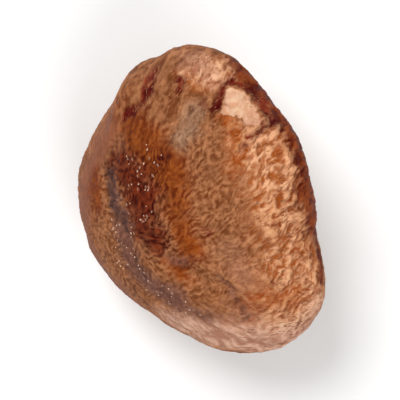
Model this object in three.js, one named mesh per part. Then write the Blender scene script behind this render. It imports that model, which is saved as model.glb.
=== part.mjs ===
// A fresh shiitake mushroom as picked: one piece of flesh with a plump lobed cap, a margin that
// still rolls inwards, a shallow gill chamber and a short trimmed stem. It lies as it settles on a
// table, on two low places of its margin and on the edge of its cut stem.
// Millimetres, +Z up. The origin is the middle of the bounding box's bottom face.
import * as THREE from "three";
import { ConvexHull } from "three/addons/math/ConvexHull.js";

// Driving dimensions. Heights are measured along the stem's axis from the cap's widest line.
const CAP_RADIUS = 27.5; // at the widest line, between the lobes
const CROWN_HEIGHT = 22.9; // top of the cap
const MARGIN_DROP = 7.6; // lowest line of the rolled margin
const GILL_RISE = 1.2; // edges of the gills, half way to the stem
const STEM_RADIUS = 6.8;
const STEM_DROP = 25; // cut end of the stem
const STEM_DRIFT = [2.2, 1.4]; // sideways bend of the stem at its cut end, along x and y
const STEM_OVAL = 0.07; // how much wider the stem is across one way than its mean radius

// Places where the cap has grown further out (or less) than CAP_RADIUS: direction and spread in
// degrees round the stem, size as a share of the radius, and how it builds up from crown to rim
// (1 evenly, 3 only near the rim).
const LOBES = [
  { name: "lower lobe", towards: -48, spread: 28, share: 0.31, build: 1.2 },
  { name: "upper lobe", towards: 88, spread: 25, share: 0.29, build: 1.2 },
  { name: "left shoulder", towards: 162, spread: 16, share: 0.12, build: 1.2 },
  { name: "right shoulder", towards: 32, spread: 13, share: 0.14, build: 2 },
  { name: "waist above the lower lobe", towards: -15, spread: 10, share: -0.15, build: 3 },
];

// The margin rises and falls as it goes round: waves per turn, height, direction of a low place.
const MARGIN_WAVES = [
  { count: 4, height: 1.6, towards: 160 },
  { count: 3, height: 0.5, towards: 100 },
];

// Creases pressed into the top of the cap (depth > 0) and swellings raised on it (depth < 0),
// each along a path of x, y points seen down the stem's axis; width is the half width.
const FOLDS = [
  { name: "crease", depth: 1.1, width: 1.4, path: [[12, -8], [18.5, -12], [20.5, -16.5], [24, -24]] },
  { name: "fold beside it", depth: -0.9, width: 2.4, path: [[20, -9.5], [25.5, -15.5], [29, -17]] },
  { name: "long furrow", depth: 0.7, width: 1.6, path: [[-7, 33], [-2.7, 27], [-6, 24], [-7, 12]] },
  { name: "knob at its end", depth: -0.9, width: 2.6, path: [[-12, 31], [-9, 28]] },
  { name: "dimple", depth: 0.6, width: 4, path: [[-13, 19], [-16, 14]] },
];

// The way the cap leans over when it lies at rest, in degrees, and how far the plane it settles
// on may be from that.
const LEAN = 41;
const LEAN_TOWARDS = 204;
const LEAN_WITHIN = 8;

const COLUMNS = 92; // vertices round each ring

// The profile from the crown over the rolled margin and along the gills to the cut end of the
// stem: share of the cap's radius, share of the stem's radius, height, rings to the next line.
const PROFILE = [
  [0, 0, CROWN_HEIGHT, 5],
  [0.3, 0, 0.965 * CROWN_HEIGHT, 5],
  [0.58, 0, 0.83 * CROWN_HEIGHT, 5],
  [0.82, 0, 0.56 * CROWN_HEIGHT, 4],
  [0.96, 0, 0.22 * CROWN_HEIGHT, 3],
  [1, 0, -0.07 * MARGIN_DROP, 2],
  [0.965, 0, -0.6 * MARGIN_DROP, 2],
  [0.88, 0, -0.95 * MARGIN_DROP, 2],
  [0.78, 0, -MARGIN_DROP, 2],
  [0.69, 0, -0.76 * MARGIN_DROP, 2],
  [0.63, 0, -0.33 * MARGIN_DROP, 2],
  [0.52, 0, 0.4 * GILL_RISE, 2],
  [0.36, 0, GILL_RISE, 3],
  [0.1, 0.75, -0.4 * GILL_RISE, 3],
  [0, 1, -0.17 * STEM_DROP, 3],
  [0, 0.97, -0.56 * STEM_DROP, 3],
  [0, 1, -0.96 * STEM_DROP, 2],
  [0, 0.82, -STEM_DROP, 2],
  [0, 0, -STEM_DROP - 0.3, 0],
];

const radians = THREE.MathUtils.degToRad;
const bell = (distance, spread) => Math.exp(-0.5 * (distance / spread) ** 2);

/** Points of the profile: x is the part that follows the lobes, y the part that is stem. */
function profileSections() {
  const knots = PROFILE.map(
    ([cap, stem, height]) => new THREE.Vector3(cap * CAP_RADIUS, stem * STEM_RADIUS, height),
  );
  const curve = new THREE.CatmullRomCurve3(knots);
  const spans = PROFILE.length - 1;
  const sections = PROFILE.slice(0, -1).flatMap(([, , , rings], span) =>
    Array.from({ length: rings }, (_, ring) => curve.getPoint((span + ring / rings) / spans)),
  );
  return [...sections, knots.at(-1)];
}

/** How much further than its plain radius the cap reaches at an azimuth in radians, as a share. */
function lobeShare(azimuth, outwards) {
  return LOBES.reduce((sum, lobe) => {
    const turn = THREE.MathUtils.radToDeg(azimuth) - lobe.towards;
    const apart = THREE.MathUtils.euclideanModulo(turn + 180, 360) - 180;
    return sum + lobe.share * bell(apart, lobe.spread) * outwards ** lobe.build;
  }, 0);
}

/** How far the margin drops at an azimuth in radians. */
function marginWave(azimuth) {
  return MARGIN_WAVES.reduce(
    (sum, wave) => sum + wave.height * Math.cos(wave.count * (azimuth - radians(wave.towards))),
    0,
  );
}

/** Point of the smooth skin where a point of the profile is swept to an azimuth. */
function skinPoint(section, azimuth) {
  const outwards = Math.max(0, section.x / CAP_RADIUS); // 0 on the stem and crown, 1 at the rim
  const oval = 1 + STEM_OVAL * Math.cos(2 * azimuth);
  const radius = section.x * (1 + lobeShare(azimuth, outwards)) + section.y * oval;
  const height = section.z - marginWave(azimuth) * outwards ** 3;
  const bend = Math.max(0, -section.z / STEM_DROP) * (1 - Math.min(1, outwards)) ** 4;
  return new THREE.Vector3(
    radius * Math.cos(azimuth) + STEM_DRIFT[0] * bend,
    radius * Math.sin(azimuth) + STEM_DRIFT[1] * bend,
    height,
  );
}

/** Distance from a point to a fold's path, both seen down the stem's axis. */
function distanceToPath(point, path) {
  const corners = path.map(([x, y]) => new THREE.Vector3(x, y, 0));
  const seen = new THREE.Vector3(point.x, point.y, 0);
  const nearest = new THREE.Vector3();
  const distances = corners.slice(1).map((corner, i) => {
    new THREE.Line3(corners[i], corner).closestPointToPoint(seen, true, nearest);
    return nearest.distanceTo(seen);
  });
  return Math.min(...distances);
}

/** Moves the top of the cap in or out along its normals where the folds run. */
function pressFolds(geometry) {
  const position = geometry.getAttribute("position");
  const normals = geometry.getAttribute("normal");
  for (let i = 0; i < position.count; i++) {
    const point = new THREE.Vector3().fromBufferAttribute(position, i);
    const normal = new THREE.Vector3().fromBufferAttribute(normals, i);
    const onTop = THREE.MathUtils.smoothstep(normal.z, -0.4, 0.15);
    for (const fold of FOLDS) {
      const depth = fold.depth * onTop * bell(distanceToPath(point, fold.path), fold.width);
      point.addScaledVector(normal, -depth);
    }
    position.setXYZ(i, ...point);
  }
}

/** The closed skin: a point at the crown, rings of vertices, and a point on the cut end. */
function mushroomGeometry() {
  const sections = profileSections();
  const rings = sections.slice(1, -1);
  const points = [skinPoint(sections[0], 0)];
  for (const section of rings) {
    for (let column = 0; column < COLUMNS; column++) {
      points.push(skinPoint(section, (2 * Math.PI * column) / COLUMNS));
    }
  }
  points.push(skinPoint(sections.at(-1), 0));

  const vertex = (ring, column) => 1 + ring * COLUMNS + (column % COLUMNS);
  const [crown, cut] = [0, points.length - 1];
  const lastRing = rings.length - 1;
  const faces = [];
  for (let column = 0; column < COLUMNS; column++) {
    faces.push(crown, vertex(0, column), vertex(0, column + 1));
    for (let ring = 0; ring < lastRing; ring++) {
      const [a, b] = [vertex(ring, column), vertex(ring, column + 1)];
      const [c, d] = [vertex(ring + 1, column), vertex(ring + 1, column + 1)];
      faces.push(a, c, b, b, c, d);
    }
    faces.push(cut, vertex(lastRing, column + 1), vertex(lastRing, column));
  }
  const geometry = new THREE.BufferGeometry().setFromPoints(points);
  geometry.setIndex(faces);
  geometry.computeVertexNormals();
  pressFolds(geometry);
  geometry.computeVertexNormals();
  return geometry;
}

/** The turn that lays a shape down on the widest face its convex hull has near the lean. */
function restingTurn(geometry) {
  const position = geometry.getAttribute("position");
  const points = Array.from({ length: position.count }, (_, i) =>
    new THREE.Vector3().fromBufferAttribute(position, i),
  );
  const leanDown = new THREE.Vector3(
    Math.sin(radians(LEAN)) * Math.cos(radians(LEAN_TOWARDS)),
    Math.sin(radians(LEAN)) * Math.sin(radians(LEAN_TOWARDS)),
    -Math.cos(radians(LEAN)),
  );
  const underneath = new ConvexHull()
    .setFromPoints(points)
    .faces.filter((face) => face.normal.angleTo(leanDown) < radians(LEAN_WITHIN))
    .reduce((widest, face) => (face.area > widest.area ? face : widest));
  return new THREE.Quaternion().setFromUnitVectors(underneath.normal, new THREE.Vector3(0, 0, -1));
}

const flesh = new THREE.MeshStandardMaterial({ color: 0x8a5a38, roughness: 0.6, metalness: 0 });
const mushroom = new THREE.Mesh(mushroomGeometry(), flesh);
mushroom.name = "mushroom";
mushroom.quaternion.copy(restingTurn(mushroom.geometry));
mushroom.updateMatrixWorld();

const bounds = new THREE.Box3().setFromObject(mushroom, true);
const middle = bounds.getCenter(new THREE.Vector3());
mushroom.position.set(-middle.x, -middle.y, -bounds.min.z);

const shiitake = new THREE.Group();
shiitake.add(mushroom);

export default shiitake;
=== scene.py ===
"""A fresh shiitake mushroom: a plump wrinkled brown cap, cream gills and a short trimmed stem.

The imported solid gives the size, the pose and the large shape. Its rings of vertices are read back
and swept into three closed pieces: the cap, the stem, and the gills that hang between them. Small
flecks and fibres then grow on the cap's skin.
"""

import logging
import math
from dataclasses import dataclass
from enum import Enum
from typing import Any, Iterable, Sequence

import bpy
import numpy as np
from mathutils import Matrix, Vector


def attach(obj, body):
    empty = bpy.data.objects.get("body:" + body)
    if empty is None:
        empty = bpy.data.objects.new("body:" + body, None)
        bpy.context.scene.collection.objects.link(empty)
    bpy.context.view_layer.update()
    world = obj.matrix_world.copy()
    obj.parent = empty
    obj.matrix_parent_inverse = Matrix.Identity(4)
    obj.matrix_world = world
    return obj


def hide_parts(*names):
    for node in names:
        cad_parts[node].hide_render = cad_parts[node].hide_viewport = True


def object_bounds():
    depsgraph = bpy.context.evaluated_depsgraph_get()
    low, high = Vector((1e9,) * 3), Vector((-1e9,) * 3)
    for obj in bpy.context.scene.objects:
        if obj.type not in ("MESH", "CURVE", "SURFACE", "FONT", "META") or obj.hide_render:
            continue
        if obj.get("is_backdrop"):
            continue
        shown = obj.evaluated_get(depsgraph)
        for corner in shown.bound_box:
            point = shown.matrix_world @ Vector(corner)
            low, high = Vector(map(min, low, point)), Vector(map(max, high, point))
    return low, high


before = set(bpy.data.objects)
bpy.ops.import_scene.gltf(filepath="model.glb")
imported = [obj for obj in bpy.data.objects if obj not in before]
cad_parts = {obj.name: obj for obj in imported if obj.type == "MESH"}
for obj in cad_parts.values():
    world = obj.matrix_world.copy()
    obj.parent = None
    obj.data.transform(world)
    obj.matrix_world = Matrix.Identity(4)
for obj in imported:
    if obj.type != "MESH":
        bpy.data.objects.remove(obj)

MM = 0.001
SEED = 7
ROOF_LIFT = 3.4 * MM  # depth of the gills
ROOF_RUN = 4.5 * MM  # how far along the skin the roof over them takes to rise
TINY = 1e-12  # keeps a division by a length of nothing from failing
log = logging.getLogger("shiitake")


# ---------------------------------------------------------------- numbers over a surface


def blend_in(values: np.ndarray, low: float, high: float) -> np.ndarray:
    """A smooth step from 0 below low to 1 above high."""
    t = np.clip((values - low) / (high - low), 0.0, 1.0)
    return t * t * (3.0 - 2.0 * t)


def bell(distance: np.ndarray, reach: float) -> np.ndarray:
    """1 at no distance, falling off smoothly around reach."""
    return np.exp(-0.5 * (distance / reach) ** 2)


def unit(vectors: np.ndarray) -> np.ndarray:
    """Vectors along the last axis, each made one long."""
    return vectors / (np.linalg.norm(vectors, axis=-1, keepdims=True) + TINY)


class Noise:
    """Smooth noise in space that is the same on every run."""

    def __init__(self, seed: int) -> None:
        """Draws the table of corner slopes.

        Args:
            seed: Picks the pattern.
        """
        draw = np.random.default_rng(seed)
        self.table = draw.permutation(256)
        slopes = draw.normal(size=(256, 3))
        self.slopes = slopes / np.linalg.norm(slopes, axis=1, keepdims=True)

    def at(self, points: np.ndarray) -> np.ndarray:
        """Noise at each point.

        Args:
            points: An array whose last axis holds x, y, z, in cells of the noise.

        Returns:
            One number per point, about -1 to 1.
        """
        cell = np.floor(points).astype(int)
        inside = points - cell
        fade = inside**3 * (inside * (inside * 6.0 - 15.0) + 10.0)
        total = np.zeros(points.shape[:-1])
        for corner in np.ndindex(2, 2, 2):
            step = np.array(corner)
            index = (cell + step) & 255
            hashed = self.table[index[..., 0]]
            hashed = self.table[(hashed + index[..., 1]) & 255]
            hashed = self.table[(hashed + index[..., 2]) & 255]
            slope = np.sum(self.slopes[hashed] * (inside - step), axis=-1)
            weight = np.prod(np.where(step == 1, fade, 1.0 - fade), axis=-1)
            total += slope * weight
        return total * 1.6

    def layered(self, points: np.ndarray, layers: int = 3) -> np.ndarray:
        """Noise with finer and weaker layers added."""
        return sum(self.at(points * 2.03**i + 17.0 * i) * 0.55**i for i in range(layers))


def spline(knots: np.ndarray, values: np.ndarray, at: np.ndarray) -> np.ndarray:
    """A natural cubic spline.

    Args:
        knots: Rising places of the values.
        values: Values with the knots along their first axis.
        at: Places to read the spline at.

    Returns:
        Values at those places, along the first axis.
    """
    steps = np.diff(knots)
    size = len(knots)
    matrix = np.eye(size)
    rows = np.arange(1, size - 1)
    matrix[rows, rows - 1] = steps[:-1]
    matrix[rows, rows] = 2.0 * (steps[:-1] + steps[1:])
    matrix[rows, rows + 1] = steps[1:]
    flat = values.reshape(size, -1)
    slope = np.diff(flat, axis=0) / steps[:, None]
    bend_side = np.zeros_like(flat)
    bend_side[1:-1] = 6.0 * np.diff(slope, axis=0)
    bend = np.linalg.solve(matrix, bend_side)
    span = np.clip(np.searchsorted(knots, at, side="right") - 1, 0, size - 2)
    width = steps[span][:, None]
    right = (at - knots[span])[:, None] / width
    left = 1.0 - right
    curve = left * flat[span] + right * flat[span + 1]
    curve += ((left**3 - left) * bend[span] + (right**3 - right) * bend[span + 1]) * width**2 / 6.0
    return curve.reshape(len(at), *values.shape[1:])


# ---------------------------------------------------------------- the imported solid's skin


class Skin:
    """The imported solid's surface as rings from the crown to the cut end of the stem."""

    def __init__(self, node: bpy.types.Object) -> None:
        """Reads the node's triangles and unrolls them.

        Args:
            node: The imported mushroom.
        """
        mesh = node.data
        corners = np.zeros(len(mesh.vertices) * 3)
        mesh.vertices.foreach_get("co", corners)
        mesh.calc_loop_triangles()
        triangles = np.zeros(len(mesh.loop_triangles) * 3, int)
        mesh.loop_triangles.foreach_get("vertices", triangles)
        rounded = np.round(corners.reshape(-1, 3), 7)
        self.points, merged = np.unique(rounded, axis=0, return_inverse=True)
        faces = merged.reshape(-1)[triangles].reshape(-1, 3)
        self.next_to = self._neighbours(faces)
        by_valence = sorted(range(len(self.points)), key=lambda i: -len(self.next_to[i]))
        top, bottom = sorted(by_valence[:2], key=lambda i: -self.points[i][2])
        self.crown, self.cut = self.points[top], self.points[bottom]
        self.rings = self._unroll(top, bottom)
        self._measure()

    def _neighbours(self, faces: np.ndarray) -> list[set[int]]:
        """Finds which vertices share an edge.

        Args:
            faces: Three vertices for each triangle.

        Returns:
            The neighbours of each vertex.
        """
        found: list[set[int]] = [set() for _ in self.points]
        for a, b, c in faces.tolist():
            found[a].update((b, c))
            found[b].update((a, c))
            found[c].update((a, b))
        return found

    def _walk(self, ring: set[int], start: int, second: int) -> list[int]:
        """Puts a ring's vertices in order.

        Args:
            ring: All of them.
            start: The first one.
            second: Its neighbour on the side to go first.

        Returns:
            The vertices in order round the ring.
        """
        order = [start, second]
        while len(order) < len(ring):
            onward = (self.next_to[order[-1]] & ring) - set(order)
            order.append(next(iter(onward)))
        return order

    def _unroll(self, top: int, bottom: int) -> np.ndarray:
        """Follows the edges down from the crown.

        Args:
            top: The crown's vertex.
            bottom: The cut end's vertex.

        Returns:
            Points as (ring, column, xyz), turning anticlockwise seen from outside the crown.
        """
        seen = {top}
        ring = set(self.next_to[top])
        start = max(ring, key=lambda i: self.points[i][0])
        sides = sorted(self.next_to[start] & ring)
        outward = self.crown - self.cut
        first_arm = self.points[start] - self.crown
        turns = [np.cross(first_arm, self.points[i] - self.crown) @ outward for i in sides]
        second = sides[int(np.argmax(turns))]
        order = self._walk(ring, start, second)
        rings = [order]
        while True:
            seen |= ring
            below = set().union(*(self.next_to[i] for i in ring)) - seen
            if below == {bottom}:
                break
            first = next(iter(self.next_to[order[0]] & self.next_to[order[1]] & below))
            before = next(iter((self.next_to[order[0]] & below) - {first}))
            backwards = self._walk(below, first, before)
            order = [first] + backwards[:0:-1]
            rings.append(order)
            ring = below
        grid = self.points[np.array(rings)]
        widest = int(np.argmax(np.linalg.norm(grid - grid.mean(1, keepdims=True), axis=2).mean(1)))
        return np.roll(grid, -int(np.argmax(grid[widest, :, 0])), axis=1)

    def _measure(self) -> None:
        """Finds the rings where the skin changes from cap to margin, gills and stem."""
        self.axis = (self.crown - self.cut) / np.linalg.norm(self.crown - self.cut)
        arms = self.rings - self.crown
        height = (arms @ self.axis).mean(1)
        reach = np.linalg.norm(arms - (arms @ self.axis)[..., None] * self.axis, axis=2).mean(1)
        whole = np.concatenate([np.broadcast_to(self.crown, (1, *self.rings.shape[1:])), self.rings])
        self.along = np.cumsum(np.linalg.norm(np.diff(whole, axis=0), axis=2).mean(1))
        some = 4  # rings that are left out near a change
        rim = int(np.argmax(reach))  # the widest ring
        inner = rim + int(np.argmax(reach[rim:] < 0.5 * reach[rim]))  # half way in to the stem
        margin = rim + int(np.argmin(height[rim:inner]))  # the lowest ring of the margin
        highest = margin + int(np.argmax(height[margin : inner + some]))  # of the gills' edges
        neck = float(reach[highest + some : -some].min())  # the stem's least radius
        flare = highest + int(np.argmax(reach[highest:] < 1.2 * neck))  # where the stem starts
        gill_line = height[margin] + 0.52 * (height[highest] - height[margin])
        edge = margin + int(np.argmax(height[margin:] > gill_line))  # where the gills start
        self.rim_at, self.margin_at = self.along[rim], self.along[margin]
        self.gills_from, self.gills_to = self.along[edge], self.along[flare]
        self.radius = reach[rim]
        self.cut_rim_at = self.along[-3]  # the last rings close the cut end
        self.end_at = self.along[-1] + np.linalg.norm(self.rings[-1] - self.cut, axis=1).mean()

    def roof(self, distance: np.ndarray) -> np.ndarray:
        """How far the cap's flesh lies above the gills' edges, in metres."""
        return ROOF_LIFT * blend_in(distance, self.gills_from, self.gills_from + ROOF_RUN)

    def sweep(self, along: np.ndarray, columns: int) -> np.ndarray:
        """Reads the skin at any fineness.

        Args:
            along: Distances from the crown down the skin, in metres.
            columns: How many points each ring gets.

        Returns:
            Points as (len(along), columns, xyz).
        """
        count = self.rings.shape[1]
        opposite = np.roll(self.rings, count // 2, axis=1)
        pole = np.ones((1, count, 1))
        past_crown, past_cut = slice(2, None, -1), slice(-1, -4, -1)  # three rings over each pole
        mirrored = 2 * self.end_at - self.along[past_cut]
        knots = [-self.along[past_crown], [0.0], self.along, [self.end_at], mirrored]
        down = [opposite[past_crown], pole * self.crown, self.rings, pole * self.cut]
        down.append(opposite[past_cut])
        lines = spline(np.concatenate(knots), np.concatenate(down), along)
        pad = 6  # columns repeated past the seam, so that the curves pass it smoothly
        wrapped = np.concatenate([lines[:, -pad:], lines, lines[:, : pad + 1]], axis=1)
        places = np.arange(-pad, count + pad + 1, dtype=float)
        wanted = np.arange(columns) * count / columns
        return spline(places, wrapped.transpose(1, 0, 2), wanted).transpose(1, 0, 2)


@dataclass
class Sweep:
    """A fine net of points on the skin, with where each lies."""

    points: np.ndarray  # as (ring, column, xyz)
    along: np.ndarray  # each ring's distance from the crown down the skin

    @property
    def distance(self) -> np.ndarray:
        """Distance from the crown down the skin, for each point."""
        return np.broadcast_to(self.along[:, None], self.points.shape[:2])

    def downhill(self) -> np.ndarray:
        """Unit directions down the skin, for each point."""
        return unit(np.gradient(self.points, axis=0))

    def normals(self) -> np.ndarray:
        """Unit directions out of the skin, for each point."""
        around = unit(np.roll(self.points, -1, axis=1) - np.roll(self.points, 1, axis=1))
        return unit(np.cross(self.downhill(), around))

    def chart(self, radius: float) -> np.ndarray:
        """Gives each point a place on a tube, so that noise can follow the skin with no seam.

        Args:
            radius: The tube's radius, in metres.

        Returns:
            Two numbers that run round the tube and one that runs down it, in metres.
        """
        rows, columns = self.points.shape[:2]
        angle = np.broadcast_to(np.arange(columns) * 2 * math.pi / columns, (rows, columns))
        return np.stack([np.cos(angle) * radius, np.sin(angle) * radius, self.distance], axis=2)


def placed(name: str, data: bpy.types.ID) -> bpy.types.Object:
    """A new object in the scene, at the origin."""
    thing = bpy.data.objects.new(name, data)
    bpy.context.scene.collection.objects.link(thing)
    return thing


def closed_mesh(
    name: str, net: np.ndarray, first: np.ndarray, last: np.ndarray, fields: dict[str, np.ndarray]
) -> bpy.types.Object:
    """Builds a closed mesh from rings and two end points.

    Args:
        name: The object's name.
        net: Points as (ring, column, xyz).
        first: The point that closes the first ring.
        last: The point that closes the last ring.
        fields: Named values as (ring, column) or (ring, column, 3).

    Returns:
        The new object, shaded smooth.
    """
    rows, columns = net.shape[:2]
    points = np.concatenate([first[None], net.reshape(-1, 3), last[None]])
    index = 1 + np.arange(rows * columns).reshape(rows, columns)
    right = np.roll(index, -1, axis=1)
    quads = np.stack([index[:-1], index[1:], right[1:], right[:-1]], axis=2).reshape(-1, 4)
    top = np.stack([np.zeros(columns, int), index[0], right[0]], axis=1)
    bottom = np.stack([np.full(columns, len(points) - 1), right[-1], index[-1]], axis=1)
    mesh = bpy.data.meshes.new(name)
    mesh.from_pydata(points.tolist(), [], quads.tolist() + top.tolist() + bottom.tolist())
    mesh.polygons.foreach_set("use_smooth", [True] * len(mesh.polygons))
    for label, values in fields.items():
        wide = values.ndim == 3
        attribute = mesh.attributes.new(label, "FLOAT_VECTOR" if wide else "FLOAT", "POINT")
        flat = values.reshape(rows * columns, -1)
        ends = flat[:columns].mean(0)[None], flat[-columns:].mean(0)[None]
        flat = np.concatenate([ends[0], flat, ends[1]])
        attribute.data.foreach_set("vector" if wide else "value", flat.astype(np.float32).ravel())
    mesh.update()
    return placed(name, mesh)


# ---------------------------------------------------------------- node trees


class Value:
    """A node's socket. Maths on one that holds a number is written as Python."""

    def __init__(self, tree: "Tree", socket: bpy.types.NodeSocket) -> None:
        """Keeps the socket and the tree it is in."""
        self.tree = tree
        self.socket = socket

    def _maths(self, operation: str, first: Any, second: Any) -> "Value":
        """The result of a Math node with two inputs."""
        return self.tree.node("ShaderNodeMath", {"operation": operation}, {0: first, 1: second})

    def __add__(self, other: Any) -> "Value":
        """self + other."""
        return self._maths("ADD", self, other)

    def __radd__(self, other: Any) -> "Value":
        """other + self."""
        return self._maths("ADD", other, self)

    def __sub__(self, other: Any) -> "Value":
        """self - other."""
        return self._maths("SUBTRACT", self, other)

    def __rsub__(self, other: Any) -> "Value":
        """other - self."""
        return self._maths("SUBTRACT", other, self)

    def __mul__(self, other: Any) -> "Value":
        """self * other."""
        return self._maths("MULTIPLY", self, other)

    def __rmul__(self, other: Any) -> "Value":
        """other * self."""
        return self._maths("MULTIPLY", other, self)

    def __truediv__(self, other: Any) -> "Value":
        """self / other."""
        return self._maths("DIVIDE", self, other)

    def __mod__(self, other: Any) -> "Value":
        """self modulo other, floored."""
        return self._maths("FLOORED_MODULO", self, other)

    def over(self, other: Any) -> "Value":
        """1 where it is above other, else 0."""
        return self._maths("GREATER_THAN", self, other)

    def most(self, other: Any) -> "Value":
        """The larger of it and other."""
        return self._maths("MAXIMUM", self, other)

    def step(self, low: float, high: float) -> "Value":
        """A smooth step from 0 below low to 1 above high."""
        settings = {"interpolation_type": "SMOOTHSTEP"}
        return self.tree.node("ShaderNodeMapRange", settings, {0: self, 1: low, 2: high})


class Tree:
    """Adds nodes to a node tree and links them."""

    def __init__(self, tree: bpy.types.NodeTree) -> None:
        """Keeps the tree."""
        self.tree = tree

    def node(
        self, kind: str, settings: dict[str, Any], inputs: dict[Any, Any], output: Any = 0
    ) -> Value:
        """Adds one node.

        Args:
            kind: The node's type.
            settings: Its own settings, set first.
            inputs: Values or links by socket name or number.
            output: The name or number of the socket to return.

        Returns:
            That output socket.
        """
        made = self.tree.nodes.new(kind)
        for label, setting in settings.items():
            setattr(made, label, setting)
        for label, value in inputs.items():
            self.feed(made.inputs[label], value)
        return Value(self, made.outputs[output])

    def feed(self, socket: bpy.types.NodeSocket, value: Any) -> None:
        """Links or sets one input socket.

        Args:
            socket: The input.
            value: What feeds it; a colour is given as red, green and blue.
        """
        if isinstance(value, Value):
            self.tree.links.new(value.socket, socket)
        elif socket.type == "RGBA":
            socket.default_value = (*value, 1.0)
        else:
            socket.default_value = value

    def number(self, label: str) -> Value:
        """A named value of the mesh, in a shader."""
        return self.node("ShaderNodeAttribute", {"attribute_name": label}, {}, "Fac")

    def vector(self, label: str) -> Value:
        """A named vector of the mesh, in a shader."""
        return self.node("ShaderNodeAttribute", {"attribute_name": label}, {}, "Vector")

    def place(self) -> Value:
        """Object coordinates, in a shader."""
        return self.node("ShaderNodeTexCoord", {}, {}, "Object")

    def vectors(self, operation: str, first: Value, second: Any = (0.0, 0.0, 0.0)) -> Value:
        """The result of a Vector Math node with one or two vectors."""
        return self.node("ShaderNodeVectorMath", {"operation": operation}, {0: first, 1: second})

    def stretched(self, vector: Value, by: tuple[float, float, float]) -> Value:
        """A vector with each part times its own number."""
        return self.vectors("MULTIPLY", vector, by)

    def scaled(self, vector: Value, by: Any) -> Value:
        """A vector times a number."""
        return self.node("ShaderNodeVectorMath", {"operation": "SCALE"}, {0: vector, "Scale": by})

    def noise(self, vector: Value, scale: float, detail: float = 3.0, rough: float = 0.55) -> Value:
        """Noise of about 0 to 1, centred on a half."""
        inputs = {"Vector": vector, "Scale": scale, "Detail": detail, "Roughness": rough}
        return self.node("ShaderNodeTexNoise", {}, inputs)

    def mixed(self, factor: Any, first: Any, second: Any, mode: str = "MIX") -> Value:
        """Mixes two colours.

        Args:
            factor: 0 for the first colour and 1 for the second.
            first: A colour or link.
            second: A colour or link.
            mode: How the second goes over the first.

        Returns:
            The mixed colour.
        """
        settings = {"data_type": "RGBA", "blend_type": mode, "clamp_factor": True}
        inputs = {0: factor, 6: first, 7: second}  # 6 and 7 are the sockets for colours
        return self.node("ShaderNodeMix", settings, inputs, 2)

    def bump(self, height: Value, distance: float, strength: float = 1.0) -> Value:
        """A normal bent by a height of 0 to 1, where 1 stands for distance in metres."""
        inputs = {"Height": height, "Distance": distance, "Strength": strength}
        return self.node("ShaderNodeBump", {}, inputs, "Normal")


def tone(red: int, green: int, blue: int) -> tuple[float, float, float]:
    """A colour given as on a paint chart, 0 to 255, made linear."""
    shares = [channel / 255.0 for channel in (red, green, blue)]
    return tuple(s / 12.92 if s <= 0.04045 else ((s + 0.055) / 1.055) ** 2.4 for s in shares)


class Finish:
    """A finish: a material that ends in one Principled shader."""

    name: str

    def sockets(self, tree: Tree) -> dict[str, Any]:
        """Builds what feeds the shader.

        Args:
            tree: The material's tree.

        Returns:
            Values or links by the name of the shader's socket.
        """
        raise NotImplementedError

    def material(self) -> bpy.types.Material:
        """Builds the material.

        Returns:
            The material.
        """
        material = bpy.data.materials.new(self.name)
        material.use_nodes = True
        nodes = material.node_tree.nodes
        nodes.clear()
        tree = Tree(material.node_tree)
        shader = tree.node("ShaderNodeBsdfPrincipled", {}, self.sockets(tree))
        tree.feed(nodes.new("ShaderNodeOutputMaterial").inputs["Surface"], shader)
        return material


# ---------------------------------------------------------------- places on the cap


@dataclass(frozen=True)
class Mark:
    """A place on the cap: a line seen from above, as shares of the model's box, and its reach."""

    path: tuple[tuple[float, float], ...]
    reach: float  # millimetres to each side
    weight: float = 1.0  # how strong it is on its line


class Zone(Enum):
    """The kinds of colour on the cap, some of them painted shade or painted reflection, each named as
    its value on the mesh.
    """

    CROWN = "crown"  # dark red, over the top
    AMBER = "amber"  # the halo round it
    PLUM_AND_SHEEN = "plum_and_sheen"  # a violet band beside it, and a streak of painted grey reflection down the crown's left side
    SLATE_AND_SHEEN = "slate_and_sheen"  # streaks that are nearly black, with a painted blue-grey reflection on them
    FLANK = "flank"  # smooth and brown
    FIBRED = "fibred"  # pale wrinkles that all slant one way
    DARK_RIM_AND_SHADE = "dark_rim_and_shade"  # a dark red strip near the rim, deepened with painted shade
    PALE = "pale"  # pinkish cream
    BARE = "bare"  # flesh where the skin tore
    STAIN_AND_SHADE = "stain_and_shade"  # small dark marks, and painted shade along the upper right rim
    BLOOM = "bloom"  # greyish
    RUST = "rust"  # orange streaks between pale crests
    CREASE_SHADE = "crease"  # thin pressed lines, darkened with painted shade
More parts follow.
